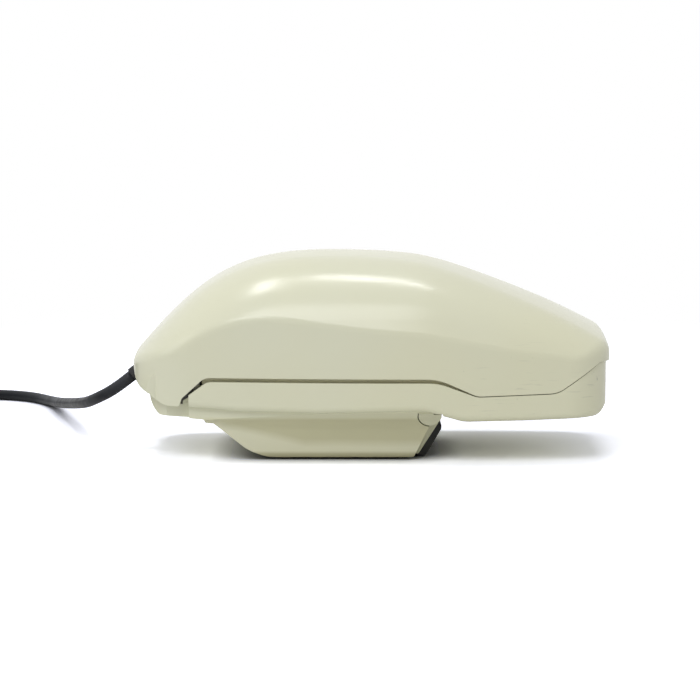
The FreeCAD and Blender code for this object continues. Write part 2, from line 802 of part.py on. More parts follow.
def gear_shape(teeth, module, bore, thickness, low, centre, turn):
    """A spur gear with straight-flanked teeth, its first tooth at the angle turn."""
    root, tip = module * teeth / 2 - 1.1 * module, module * teeth / 2 + 0.75 * module
    step = 2 * math.pi / teeth
    points = []
    for k in range(teeth):
        middle = turn + k * step
        for part, radius in ((-0.27, root), (-0.12, tip), (0.12, tip), (0.27, root)):
            angle = middle + part * step
            points.append(Vector(centre.x + radius * math.cos(angle), centre.y + radius * math.sin(angle), low))
    wire = Part.makePolygon(points + points[:1])
    solid = Part.Face(wire).extrude(Vector(0, 0, thickness))
    if bore:
        solid = solid.cut(Part.makeCylinder(bore, thickness + 2, Vector(centre.x, centre.y, low - 1)))
    return solid


GEAR_TEETH, PINION_TEETH = 56, 8
GEAR_MODULE = 2 * size("governor_pitch") / (GEAR_TEETH + PINION_TEETH)
DIAL = Vector(size("dial_x"), 0, 0)
GOVERNOR = Vector(size("dial_x"), size("governor_pitch"), 0)

# The cord: its route from the gland to the coil, and from the coil to the plug. The first stretch to
# the eighth point follows the cord in the photograph, and the rest lies outside it.
ROUTE = [GLAND_FACE, GLAND_FACE + GLAND_OUT * 8.0, Vector(-95.8, 4.5, 16.8), Vector(-100.4, 15.5, 13.9),
         Vector(-105.5, 34.0, 11.1), Vector(-110.2, 56.0, 8.1), Vector(-116.8, 80.0, 5.0),
         Vector(-122.5, 106.0, 2.0), Vector(-134.5, 123.5, 2.0)]
COIL_CENTRE = Vector(-180.0, 129.0 - size("coil_outer"), 0)
COIL_LAYERS, COIL_TURNS = 4, 2.0
COIL_END = COIL_LAYERS * (COIL_TURNS + 0.5) - 0.5
PLUG_FACE = Vector(COIL_CENTRE.x + 30.0, COIL_CENTRE.y - size("coil_outer") - 42.0, 10.0)


def route_wire(points, name):
    """Straight runs joined by arcs as large as the shorter run allows. Prints the radii."""
    radii = []
    for a, b, c in zip(points, points[1:], points[2:]):
        turn = (b - a).getAngle(c - b)
        radii.append(0.45 * min((b - a).Length, (c - b).Length) / math.tan(turn / 2))
    print(name, "radii", [round(r, 1) for r in radii])
    return Part.Wire(rounded_path(points, radii))


def octagon(radius, centre, along, upward):
    """A cord's section: eight flats at the given distance from the middle."""
    aside = along.cross(upward).normalize()
    upward = aside.cross(along).normalize()
    corner = radius / math.cos(math.pi / 8)
    ends = [centre + (aside * math.cos(a) + upward * math.sin(a)) * corner
            for a in (math.pi / 8 + k * math.pi / 4 for k in range(8))]
    return Part.makePolygon(ends + ends[:1])


def tube(wire, name):
    """A cord's solid along a wire. Prints its volume against its section times its length."""
    first = wire.OrderedEdges[0]
    start, along = first.Vertexes[0].Point, first.tangentAt(first.FirstParameter)
    section = octagon(size("cord_radius"), start, along, UP)
    solid = wire.makePipeShell([section], True, False)
    area = Part.Face(section).Area
    print(name, "length", round(wire.Length, 1), "volume share", round(solid.Volume / (area * wire.Length), 4))
    return solid


def coil_state(turn):
    """The coil's radius and height after a number of turns: it spirals in and out, layer by layer."""
    leg = COIL_TURNS + 0.5
    layer = min(int(turn / leg), COIL_LAYERS - 1)
    done = turn - layer * leg
    wound = min(done, COIL_TURNS) * size("coil_pitch")
    inner = size("coil_outer") - COIL_TURNS * size("coil_pitch")
    radius = size("coil_outer") - wound if layer % 2 == 0 else inner + wound
    climb = max(done - COIL_TURNS, 0.0) / 0.5
    height = size("cord_radius") + size("coil_layer") * (layer + climb * climb * (3 - 2 * climb))
    bulge = size("coil_bulge") * math.sin(math.pi * climb)
    return radius + (bulge if layer % 2 else -bulge), height


def coil_point(turn):
    radius, height = coil_state(turn)
    angle = math.pi / 2 + 2 * math.pi * turn
    return COIL_CENTRE + Vector(radius * math.cos(angle), radius * math.sin(angle), height)


def coil_way(turn):
    step = 1e-4
    return (coil_point(min(turn + step, COIL_END)) - coil_point(max(turn - step, 0))).normalize()


def coil_lead(turn, sign):
    """Where the straight lead ends that the coil's wire has before its first turn and after its last."""
    return coil_point(turn) + coil_way(turn) * (sign * size("coil_lead"))


def whole_route():
    """The cord from the gland to the coil, its last run in line with the coil's first turn."""
    end = coil_lead(0, -1)
    return ROUTE + [end - coil_way(0) * 20.0, end]


def tail_route():
    """The cord from the coil's top layer down to the plug beside it."""
    start = coil_lead(COIL_END, 1)
    return [start, start + coil_way(COIL_END) * 12.5, PLUG_FACE + Vector(-3.0, 34.0, 4.4),
            PLUG_FACE + Vector(0.5, 22.0, 1.8), PLUG_FACE + Vector(0, 10.0, 0), PLUG_FACE]


def biarc(start, start_way, end, end_way):
    """Two arcs that leave start and reach end along the given directions."""
    reach = end - start
    both = start_way + end_way
    spread = 2 * (1 - start_way.dot(end_way))
    arm = (-reach.dot(both) + math.sqrt(reach.dot(both) ** 2 + spread * reach.dot(reach))) / spread
    first, last = start + start_way * arm, end - end_way * arm
    middle = (first + last) * 0.5
    edges = []
    for a, corner, b in ((start, first, middle), (middle, last, end)):
        chord_middle = (a + b) * 0.5
        half_turn = (corner - a).getAngle(b - corner) / 2
        share = math.cos(half_turn) / (1 + math.cos(half_turn))
        edges.append(arc(a, chord_middle + (corner - chord_middle) * share, b))
    return edges


def coil_wire():
    edges = [line(coil_lead(0, -1), coil_point(0))]
    for k in range(round(2 * COIL_END)):
        a, b = k / 2, (k + 1) / 2
        edges += biarc(coil_point(a), coil_way(a), coil_point(b), coil_way(b))
    return Part.Wire(edges + [line(coil_point(COIL_END), coil_lead(COIL_END, 1))])


def least_gap(wire, skip):
    """The smallest distance between the surfaces of turns that aren't neighbours along the wire."""
    points = wire.discretize(Distance=3.0)
    best = 1e9
    for i in range(len(points)):
        for j in range(i + skip, len(points)):
            best = min(best, (points[i] - points[j]).Length)
    return best - 2 * size("cord_radius") / math.cos(math.pi / 8)


def wall_plug():
    """A rounded block that the cord enters through a stepped sleeve."""
    face = PLUG_FACE
    half = size("plug_width") / 2
    depth = size("plug_depth")
    body = block(face.x - half, face.x + half, face.y - 8.0 - size("plug_length"), face.y - 8.0, 0.0, depth)
    edges = upright_edges(body)
    body = body.makeFillet(8.0, edges)
    rims = [e for e in body.Edges if e.BoundBox.ZLength < 1e-3]
    body = body.makeChamfer(2.0, rims)
    sleeve = Part.makeCone(3.0, 4.4, 9.0, face, Vector(0, -1, 0))
    return body.fuse(sleeve)


def plug_pins():
    face = PLUG_FACE
    far = face.y - 8.0 - size("plug_length")
    pins = []
    for x, z in ((-8.0, 7.0), (8.0, 7.0), (0.0, 13.5)):
        start = Vector(face.x + x, far, z)
        pin = Part.makeCylinder(size("plug_pin_radius"), size("plug_pin_length"), start, Vector(0, -1, 0))
        tip = [e for e in pin.Edges if e.BoundBox.YMax < far - size("plug_pin_length") + 0.1]
        pins.append(pin.makeChamfer(0.8, tip))
    return Part.makeCompound(pins)


# Screws


def face_screw(x, y, level):
    """A pan-headed screw pointing up, its head under the level and its shank above."""
    under = level - size("screw_head_height")
    head_solid = Part.makeCylinder(size("screw_head"), size("screw_head_height"), Vector(x, y, under))
    shank_solid = Part.makeCylinder(size("screw_shank"), size("screw_length"), Vector(x, y, level))
    slot = block(x - 4, x + 4, y - 0.4, y + 0.4, under - 1, under + size("screw_head_height") / 2)
    return head_solid.fuse(shank_solid).cut(slot)


def cover_screw(x, y, level):
    """A small screw pointing down, its head on the level."""
    shank = size("small_screw_length") - 1
    head_solid = Part.makeCylinder(size("small_screw_head"), size("small_head_height"), Vector(x, y, level))
    shank_solid = Part.makeCylinder(size("small_screw_shank"), shank, Vector(x, y, level - shank))
    slot = block(x - 4, x + 4, y - 0.3, y + 0.3, level + size("small_head_height") / 2, level + 2)
    return head_solid.fuse(shank_solid).cut(slot)


def build_body():
    shaped("back_shell", back_shell())
    shaped("face_plate", face_plate())
    shaped("finger_stop", finger_stop())
    shaped("face_screws", Part.makeCompound([face_screw(x, y, face_height(x)) for x, y in BODY_SCREWS]))
    pin_start = (size("hinge_x"), -size("pin_length") / 2, size("hinge_z"))
    node(cylinder("hinge_pin", "pin_radius", "pin_length", pin_start, ALONG_Y), "hinge_pin")
    shaped("cord_gland", rod(size("gland_radius"), GLAND_FACE, GLAND_FACE - GLAND_OUT * size("gland_length")))


def build_dial():
    x = size("dial_x")
    node(ring("number_ring", "ring_radius", "ring_bore", "ring_thickness", (x, 0, size("ring_level"))),
         "number_ring")
    # the finger wheel: a disc with ten finger holes, 30 degrees apart, and a bore for the shaft
    wheel = new_body("finger_wheel", (x, 0, size("wheel_level")))
    disc = sketch_on(wheel, "wheel_outline", "XY_Plane")
    sketch_circle(disc, "wheel_radius")
    sketch_circle(disc, "shaft_radius")
    pad(wheel, disc, "wheel_disc", "wheel_thickness")
    hole = sketch_on(wheel, "finger_outline", "XY_Plane")
    sketch_circle(hole, "finger_radius", "finger_pitch")
    doc.recompute()
    finger = pocket_through(wheel, hole, "finger_hole")
    doc.recompute()
    polar(wheel, finger, "finger_holes", 10, 270.0)
    wheel.Placement = Placement(Vector(x, 0, size("wheel_level")), Rotation(UP, 150))
    node(wheel, "finger_wheel")
    node(cylinder("dial_cap", "cap_radius", "cap_thickness", (x, 0, size("cap_level"))), "dial_cap")
    node(cylinder("dial_shaft", "shaft_radius", "shaft_length", (x, 0, size("wheel_level"))), "dial_shaft")
    frame = ring("frame_disc", "frame_radius", "ring_bore", "frame_thickness", (x, 0, size("frame_level")))
    pivot = cylinder("frame_pivot", "pivot_bore", "frame_thickness", (x, GOVERNOR.y, size("frame_level")))
    node(cut("dial_frame", frame, pivot), "dial_frame")
    shaped("dial_bridge", dial_bridge())
    gear = gear_shape(GEAR_TEETH, GEAR_MODULE, size("gear_bore"), size("gear_thickness"), size("gear_level"),
                      DIAL, math.pi / 2)
    shaped("main_gear", gear)
    node(ring("spring_drum", "drum_outer", "drum_inner", "drum_height",
              (x, 0, size("frame_level") + size("frame_thickness"))), "spring_drum")
    cam = new_body("pulse_cam", (x, 0, size("cam_level")))
    outline = sketch_on(cam, "cam_outline", "XY_Plane")
    sketch_circle(outline, "cam_radius")
    sketch_circle(outline, "shaft_radius")
    pad(cam, outline, "cam_disc", "cam_thickness")
    notch = sketch_on(cam, "notch_outline", "XY_Plane")
    sketch_circle(notch, "cam_notch", "cam_notch_pitch")
    doc.recompute()
    bite = pocket_through(cam, notch, "cam_notch_cut")
    doc.recompute()
    polar(cam, bite, "cam_notches", 10, 270.0)
    node(cam, "pulse_cam")
    shaped("pulse_contacts", pulse_contacts())
    shaped("governor_shaft", governor_shaft())
    node(ring("governor_weights", "weight_radius", "governor_shaft", "weight_height",
              (x, GOVERNOR.y, size("weight_level"))), "governor_weights")
    cup_level = size("bridge_level") - size("cup_height")
    node(ring("governor_cup", "cup_outer", "cup_inner", "cup_height", (x, GOVERNOR.y, cup_level)),
         "governor_cup")


def dial_bridge():
    """The upper bearing plate of the dial, on three pillars that stand on the frame."""
    level = size("bridge_level")
    plate = Part.makeCylinder(size("frame_radius"), size("bridge_thickness"), DIAL + UP * level)
    for degrees in (0, 180, 270):
        turn = math.radians(degrees)
        foot = DIAL + Vector(math.cos(turn), math.sin(turn), 0) * size("pillar_pitch")
        low = size("frame_level") + size("frame_thickness")
        plate = plate.fuse(Part.makeCylinder(size("bridge_pillar"), level - low, foot + UP * low))
    plate = plate.cut(Part.makeCylinder(size("ring_bore"), 4, DIAL + UP * (level - 1)))
    return plate.cut(Part.makeCylinder(size("pivot_bore"), 4, GOVERNOR + UP * (level - 1)))


def governor_shaft():
    low = size("frame_level") + 0.3
    shaft = Part.makeCylinder(size("governor_shaft"), size("governor_length"), GOVERNOR + UP * low)
    turn = -math.pi / 2 + math.pi / PINION_TEETH
    pinion = gear_shape(PINION_TEETH, GEAR_MODULE, 0, size("gear_thickness") + 1.2, size("gear_level") - 0.6,
                        GOVERNOR, turn)
    return shaft.fuse(pinion)


def pulse_contacts():
    """Two leaf springs in a block that hangs from the bridge beside the cam."""
    x = size("dial_x")
    level = size("bridge_level")
    base = block(x - 21.0, x - 15.5, -14.0, -8.0, 37.8, level)
    leaves = [block(x - 14.9 - 1.6 * k, x - 14.5 - 1.6 * k, -13.0, 9.0, 39.0, 41.4) for k in range(2)]
    bar = block(x - 16.8, x - 14.5, -13.0, -9.0, 39.0, 41.4)
    return base.fuse(bar).fuse(leaves[0]).fuse(leaves[1])


def build_earpiece():
    x = size("ear_x")
    level = size("ear_face") + size("plate")
    node(ring("earpiece_gasket", "ear_radius", "gasket_inner", "gasket_thickness", (x, 0, level)),
         "earpiece_gasket")
    low = level + size("gasket_thickness")
    lower = Part.makeCylinder(size("ear_radius"), size("ear_height") * 0.6, Vector(x, 0, low))
    upper = Part.makeCylinder(size("ear_step"), size("ear_height") * 0.4,
                              Vector(x, 0, low + size("ear_height") * 0.6))
    shaped("earpiece_capsule", lower.fuse(upper).removeSplitter())
    top = low + size("ear_height")
    y = EAR_CLAMP_Y
    half = size("clamp_width") / 2
    bar = block(x - half, x + half, -y - 1.6, y + 1.6, top, top + size("clamp_thickness"))
    legs = [block(x - half, x + half, s * y - 1.6, s * y + 1.6, level, top) for s in (-1, 1)]
    shaped("earpiece_clamp", bar.fuse(legs[0]).fuse(legs[1]).removeSplitter())


def build_electrics():
    x = size("board_x")
    level = size("board_level")
    board = box("board_blank", "board_length", "board_width", "board_thickness", (x, 0, level))
    node(board, "circuit_board")
    over = level + size("board_thickness")
    low = size("bridge_level") + size("bridge_thickness")
    shaped("board_pillars", Part.makeCompound([
        Part.makeCylinder(size("board_pillar"), level - low, DIAL + Vector(a, b, low))
        for a in (-18, 18) for b in (-14, 14)]))
    node(box("induction_coil", "coil_length", "coil_width", "coil_height", (x - 10, 6, over)), "induction_coil")
    cans = [cylinder(f"capacitor_{k}", "capacitor_radius", "capacitor_length",
                     (x + 8 + 10.5 * k, -4.0, over + size("capacitor_radius")), ALONG_Y) for k in range(2)]
    node(group("capacitors", cans), "capacitors")
    node(box("terminal_block", "terminal_length", "terminal_width", "terminal_height", (x - 26, 0, over)),
         "terminal_block")


def build_flap():
    shaped("flap_shell", flap_shell().fuse(neck_ledge()).removeSplitter())
    shaped("mouthpiece_plate", mouthpiece_plate())
    x = size("mic_x")
    top = size("cover_level")
    gasket_low = top - size("gasket_thickness")
    node(ring("microphone_gasket", "mic_radius", "mic_gasket_inner", "gasket_thickness", (x, 0, gasket_low)),
         "microphone_gasket")
    node(cylinder("microphone_capsule", "mic_radius", "mic_height", (x, 0, gasket_low - size("mic_height"))),
         "microphone_capsule")
    shaped("plate_screws", Part.makeCompound([
        cover_screw(a, b, top + size("cover_thickness")) for a, b in COVER_SCREWS]))
    feet = [cylinder(f"foot_{k}", "foot_radius", "foot_thickness", (a, b, 0)) for k, (a, b) in enumerate(FEET)]
    node(group("rubber_feet", feet), "rubber_feet")
    half = size("barrel_half")
    bushes = [ring(f"bush_{k}", "bush_radius", "bush_bore", "bush_length",
                   (size("hinge_x"), start, size("hinge_z")), ALONG_Y)
              for k, start in enumerate((-half, half - size("bush_length")))]
    node(group("hinge_bushes", bushes), "hinge_bushes")
    node(ring("hinge_spring", "spring_outer", "spring_inner", "spring_length",
              (size("hinge_x"), -size("spring_length") / 2, size("hinge_z")), ALONG_Y), "hinge_spring")


def build_hook():
    shaped("hook_rocker", hook_rocker())
    shaped("hook_pad", hook_pad())
    half = size("rocker_half")
    shaped("rocker_pin", rod(size("rocker_pin"), ROCKER - Vector(0, half, 0), ROCKER + Vector(0, half, 0)))
    foot = size("foot_height") + size("wall")
    base = block(2.0, 8.0, -8.0, 8.0, foot, foot + 4.0)
    leaf = block(8.0, 8.4, -7.0, 7.0, foot + 0.4, foot + 8.0)
    shaped("switch_contacts", base.fuse(leaf).removeSplitter())


def build_cord():
    shaped("cord", tube(route_wire(whole_route(), "cord"), "cord"))
    wire = coil_wire()
    print("coil least gap", round(least_gap(wire, 12), 2))
    shaped("cord_coil", tube(wire, "coil"))
    shaped("cord_tail", tube(route_wire(tail_route(), "tail"), "tail"))
    shaped("wall_plug", wall_plug())
    shaped("plug_pins", plug_pins())


def check_document():
    doc.recompute()
    for thing in doc.Objects:
        if "Invalid" in thing.State or "Error" in thing.State:
            raise RuntimeError(f"{thing.Name} failed to compute: {thing.State}")
    for thing in node_objects:
        if thing.Shape.isNull() or not thing.Shape.isValid() or thing.Shape.Volume <= 0:
            raise RuntimeError(f"{thing.Label} has no valid solid")


def write_nodes():
    os.makedirs("parts", exist_ok=True)
    for thing in node_objects:
        thing.Shape.exportStep(f"parts/{thing.Label}.step")
        print(thing.Label, len(thing.Shape.Solids), "solid", round(thing.Shape.Volume, 1))


build_body()
build_dial()
build_earpiece()
build_electrics()
build_flap()
build_hook()
build_cord()
check_document()
write_nodes()
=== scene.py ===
import json
import math

import bmesh
import bpy
from mathutils import Matrix, Vector


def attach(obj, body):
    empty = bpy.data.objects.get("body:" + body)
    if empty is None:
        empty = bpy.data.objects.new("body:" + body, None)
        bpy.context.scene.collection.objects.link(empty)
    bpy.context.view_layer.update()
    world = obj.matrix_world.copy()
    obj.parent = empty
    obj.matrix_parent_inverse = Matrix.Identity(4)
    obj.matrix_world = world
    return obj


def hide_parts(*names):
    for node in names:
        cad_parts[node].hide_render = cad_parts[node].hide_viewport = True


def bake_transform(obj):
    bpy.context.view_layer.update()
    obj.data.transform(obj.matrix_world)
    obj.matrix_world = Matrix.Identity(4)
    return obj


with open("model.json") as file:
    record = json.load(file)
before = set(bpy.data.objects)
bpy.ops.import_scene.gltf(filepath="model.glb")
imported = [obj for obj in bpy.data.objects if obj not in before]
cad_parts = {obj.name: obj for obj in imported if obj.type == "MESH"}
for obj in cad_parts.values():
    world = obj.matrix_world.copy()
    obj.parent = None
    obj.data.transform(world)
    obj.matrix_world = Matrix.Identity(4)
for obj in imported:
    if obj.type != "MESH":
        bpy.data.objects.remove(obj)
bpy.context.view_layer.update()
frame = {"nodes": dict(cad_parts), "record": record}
MM = 0.001

# The camera looks along +Y, slightly down, at the middle of the closed telephone.
CAMERA_RISE = math.radians(6.5)
CAMERA_DISTANCE = 900 * MM
CAMERA_AIM = Vector((-6.8, 0.0, 34.4)) * MM
CAMERA_LENS = 132.7
SENSOR = 36.0

# The cord's route in millimetres: from the gland to the coil, and from the coil to the plug.
CORD_DIAMETER = 4.0
GLAND_FACE = Vector((-82.7, 0.0, 25.6))
GLAND_OUT = Vector((-1.0, 0.0, -0.8)).normalized()
ROUTE = [GLAND_FACE, GLAND_FACE + GLAND_OUT * 8.0, (-95.8, 4.5, 16.8), (-100.4, 15.5, 13.9),
         (-105.5, 34.0, 11.1), (-110.2, 56.0, 8.1), (-116.8, 80.0, 5.0), (-122.5, 106.0, 2.0),
         (-134.5, 123.5, 2.0)]
# Beyond this place the cord stays on the table while the body turns up.
COIL_OUTER = 28.0
COIL_CENTRE = Vector((-180.0, 129.0 - COIL_OUTER, 0.0))
COIL_PITCH = 4.9
COIL_LAYER = 4.8
COIL_BULGE = 0.9
COIL_LEAD = 4.0
COIL_APPROACH = 20.0
COIL_LAYERS, COIL_TURNS = 4, 2.0
# Half a turn takes the cord from one layer up to the next.
COIL_CLIMB = 0.5
COIL_END = COIL_LAYERS * (COIL_TURNS + COIL_CLIMB) - COIL_CLIMB
COIL_STEPS_PER_TURN = 16
PLUG_FACE = Vector((COIL_CENTRE.x + 30.0, COIL_CENTRE.y - COIL_OUTER - 42.0, 10.0))
TAIL_LEAD = 12.5
TAIL_TO_PLUG = [(-3.0, 34.0, 4.4), (0.5, 22.0, 1.8), (0, 10.0, 0), (0, 0, 0)]
CORD_SIDES = 20


def set_up_camera():
    """The camera of the photograph's view."""
    data = bpy.data.cameras.new("camera")
    data.lens = CAMERA_LENS
    data.sensor_width = SENSOR
    camera = bpy.data.objects.new("camera", data)
    bpy.context.scene.collection.objects.link(camera)
    back = Vector((0, -math.cos(CAMERA_RISE), math.sin(CAMERA_RISE)))
    camera.location = CAMERA_AIM + back * CAMERA_DISTANCE
    camera.rotation_mode = "QUATERNION"
    camera.rotation_quaternion = (-back).to_track_quat("-Z", "Y")
    bpy.context.scene.camera = camera


def coil_point(turn):
    """A point of the wound length after a number of turns: it spirals in and out, layer by layer."""
    leg = COIL_TURNS + COIL_CLIMB
    layer = min(int(turn / leg), COIL_LAYERS - 1)
    done = turn - layer * leg
    wound = min(done, COIL_TURNS) * COIL_PITCH
    radius = COIL_OUTER - wound if layer % 2 == 0 else COIL_OUTER - COIL_TURNS * COIL_PITCH + wound
    climb = max(done - COIL_TURNS, 0.0) / COIL_CLIMB
    bulge = COIL_BULGE * math.sin(math.pi * climb)
    radius += bulge if layer % 2 else -bulge
    height = CORD_DIAMETER / 2 + COIL_LAYER * (layer + climb * climb * (3 - 2 * climb))
    angle = math.pi / 2 + 2 * math.pi * turn
    return COIL_CENTRE + Vector((radius * math.cos(angle), radius * math.sin(angle), height))


def coil_way(turn):
    """The direction in which the wound length runs there."""
    step = 1e-4
    return (coil_point(min(turn + step, COIL_END)) - coil_point(max(turn - step, 0))).normalized()


def cord_points():
    """The whole cord's control points in metres: the free stretch, the coil's turns and the tail."""
    start = coil_point(0) - coil_way(0) * COIL_LEAD
    stop = coil_point(COIL_END) + coil_way(COIL_END) * COIL_LEAD
    steps = round(COIL_END * COIL_STEPS_PER_TURN)
    turns = [coil_point(COIL_END * k / steps) for k in range(steps + 1)]
    tail = [stop, stop + coil_way(COIL_END) * TAIL_LEAD] + [PLUG_FACE + Vector(p) for p in TAIL_TO_PLUG]
    lead_in = [start - coil_way(0) * COIL_APPROACH, start]
    return [Vector(p) * MM for p in ROUTE + lead_in + turns + tail]


def smooth_line(name, points):
    """The points of the smooth line that has these control points."""
    curve = bpy.data.curves.new(name, "CURVE")
    curve.dimensions = "3D"
    spline = curve.splines.new("NURBS")
    spline.points.add(len(points) - 1)
    for place, point in zip(spline.points, points):
        place.co = (*point, 1.0)
    spline.order_u = 3
    spline.use_endpoint_u = True
    spline.resolution_u = 6
    holder = bpy.data.objects.new(name, curve)
    mesh = bpy.data.meshes.new_from_object(holder)
    line = [v.co.copy() for v in mesh.vertices]
    bpy.data.objects.remove(holder)
    bpy.data.curves.remove(curve)
    bpy.data.meshes.remove(mesh)
    return line


def mesh_piece(name, verts, faces, body=None):
    """An object of these points and faces, shaded smooth, that moves with a body if one is named."""
    mesh = bpy.data.meshes.new(name)
    mesh.from_pydata([tuple(v) for v in verts], [], faces)
    mesh.validate()
    mesh.polygons.foreach_set("use_smooth", [True] * len(mesh.polygons))
    thing = bpy.data.objects.new(name, mesh)
    bpy.context.scene.collection.objects.link(thing)
    if body:
        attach(thing, body)
    return thing


def tube_mesh(line, radius, sides):
    """Rings of points round a line, carried along without twist, and the faces between them."""
    verts, faces = [], []
    side = (line[1] - line[0]).orthogonal().normalized()
    for k, point in enumerate(line):
        along = (line[min(k + 1, len(line) - 1)] - line[max(k - 1, 0)]).normalized()
        side = (side - along * side.dot(along)).normalized()
        other = along.cross(side)
        for j in range(sides):
            angle = 2 * math.pi * j / sides
            verts.append(point + (side * math.cos(angle) + other * math.sin(angle)) * radius)
    for k in range(len(line) - 1):
        for j in range(sides):
            a, b = k * sides + j, k * sides + (j + 1) % sides
            faces.append((a, b, b + sides, a + sides))
    faces.append(tuple(reversed(range(sides))))
    faces.append(tuple(range(len(verts) - sides, len(verts))))
    return verts, faces


def make_cord():
    """The whole cord in one piece, from the gland to the plug."""
    line = smooth_line("cord_line", cord_points())
    verts, faces = tube_mesh(line, CORD_DIAMETER / 2 * MM, CORD_SIDES)
    cord = mesh_piece("line_cord", verts, faces)
    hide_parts("cord", "cord_coil", "cord_tail")
    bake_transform(cord)
    cord.data.materials.append(FINISHES["cord_sheath"])


# Materials: each has a colour that varies over the surface and marks or grain in relief, and all but the
# board an uneven gloss.


class Surface:
    """A material's nodes, with short ways to add the patterns that its detail is made of."""

    def __init__(self, name, rough, metal=0.0):
        self.material = bpy.data.materials.new(name)
        self.material.use_nodes = True
        self.tree = self.material.node_tree
        self.shader = self.tree.nodes["Principled BSDF"]
        self.shader.inputs["Roughness"].default_value = rough
        self.shader.inputs["Metallic"].default_value = metal
        self.place = self.tree.nodes.new("ShaderNodeTexCoord").outputs["Object"]

    def link(self, out, into):
        """A wire from an output to a socket."""
        self.tree.links.new(out, into)

    def stretched(self, scale):
        """The place on the object, scaled by axis, for patterns drawn out in one direction."""
        mapping = self.tree.nodes.new("ShaderNodeMapping")
        mapping.inputs["Scale"].default_value = scale
        self.link(self.place, mapping.inputs["Vector"])
        return mapping.outputs["Vector"]

    def noise(self, scale, detail=3.0, place=None):
        """Soft patches; a larger scale makes them smaller."""
        node = self.tree.nodes.new("ShaderNodeTexNoise")
        node.inputs["Scale"].default_value = scale
        node.inputs["Detail"].default_value = detail
        self.link(place or self.place, node.inputs["Vector"])
        return node.outputs["Fac"]

    def ramp(self, factor, stops):
        """Values or colours between places along a factor: each stop is (place, value or colour)."""
        node = self.tree.nodes.new("ShaderNodeValToRGB")
        elements = node.color_ramp.elements
        while len(elements) < len(stops):
            elements.new(0.5)
        for element, (place, value) in zip(elements, stops):
            element.position = place
            element.color = (*value, 1) if isinstance(value, tuple) else (value, value, value, 1)
        self.link(factor, node.inputs["Fac"])
        return node.outputs["Color"]

    def mix(self, factor, first, second):
        """The second colour laid over the first one by a factor."""
        node = self.tree.nodes.new("ShaderNodeMix")
        node.data_type = "RGBA"
        self.link(factor, node.inputs["Factor"])
        for value, socket in ((first, node.inputs[6]), (second, node.inputs[7])):
            if isinstance(value, tuple):
                socket.default_value = (*value, 1)
            else:
                self.link(value, socket)
        return node.outputs[2]

    def colour(self, out):
        """The surface's own colour."""
        self.link(out, self.shader.inputs["Base Color"])

    def gloss(self, factor, low, high):
        """Roughness between two values, after a pattern."""
        self.link(self.ramp(factor, [(0.3, low), (0.7, high)]), self.shader.inputs["Roughness"])

    def maths(self, operation, first, second):
        """One sum on two factors or numbers."""
        node = self.tree.nodes.new("ShaderNodeMath")
        node.operation = operation
        for value, socket in ((first, node.inputs[0]), (second, node.inputs[1])):
            if isinstance(value, float):
                socket.default_value = value
            else:
                self.link(value, socket)
        return node.outputs["Value"]

    def relief(self, height, strength, distance):
        """A slight unevenness after a pattern."""
        bump = self.tree.nodes.new("ShaderNodeBump")
        bump.inputs["Strength"].default_value = strength
        bump.inputs["Distance"].default_value = distance
        self.link(height, bump.inputs["Height"])
        self.link(bump.outputs["Normal"], self.shader.inputs["Normal"])


def shade(colour, share):
    """The colour made darker by one share."""
    return tuple(c * share for c in colour)


def tinted(colour, tint):
    """The colour times another one."""
    return tuple(c * t for c, t in zip(colour, tint))


# How fine the patterns of the mouldings are: clouds of yellowing, worn areas, scratches, specks, gloss.
YELLOWING, WORN, SPECKS, GLOSS_PATCHES = 14.0, 17.0, 700.0, 90.0
SCRATCH_STRETCH = (90.0, 90.0, 1300.0)
MARK_SHADE = 0.62


def moulded(name, colour, rough, wear=1.0, aged=(1.0, 0.985, 0.93), painted_tone=None):
    """Old moulded plastic: slightly yellowed in clouds, with fine scratches and specks.

    A function given as the last argument lays painted shade and painted light on the colour, at the places
    where they fall."""
    surface = Surface(name, rough)
    base = surface.ramp(surface.noise(YELLOWING, 2.0), [(0.34, colour), (0.70, tinted(colour, aged))])
    where = surface.ramp(surface.noise(WORN, 1.0), [(0.56, 0.0), (0.68, wear)])
    drawn = surface.noise(1.0, 2.0, surface.stretched(SCRATCH_STRETCH))
    strokes = surface.ramp(drawn, [(0.68, 0.0), (0.74, 0.3)])
    specks = surface.ramp(surface.noise(SPECKS, 1.0), [(0.77, 0.0), (0.80, 0.5)])
    marks = surface.maths("MULTIPLY", surface.maths("MAXIMUM", strokes, specks), where)
    base = surface.mix(marks, base, shade(colour, MARK_SHADE))
    # Painted shade and painted light, laid on the colour.
    if painted_tone:
        base = painted_tone(surface, base, colour)
    surface.colour(base)
    patches = surface.maths("ADD", surface.noise(GLOSS_PATCHES, 3.0), marks)
    surface.gloss(patches, rough - 0.02, rough + 0.04)
    surface.relief(marks, 0.5, 0.00003)
    return surface.material


# Painted shade and light on the belly. Heights on the belly are shares of 25 mm. Left of BELLY_RISE_FROM its
# upper edge rises towards the hinge, and the painted shade under the band rises with it.
HEIGHTS_PER_METRE = 40.0
BELLY_RISE_FROM, BELLY_RISE_SLOPE = 0.022, 0.24
# The uneven edge of the painted shade, and the tints of the painted bounce light on the lower belly, the
# painted shade under the side band and the painted shade on the rounded lower edge.
PAINTED_SHADE_EDGE = 0.001
BELLY_PAINTED_BOUNCE_LIGHT, UNDER_BAND_PAINTED_SHADE, LOWER_EDGE_PAINTED_SHADE = (1.10, 1.08, 1.06), (0.84, 0.81, 0.68), (0.62, 0.58, 0.42)


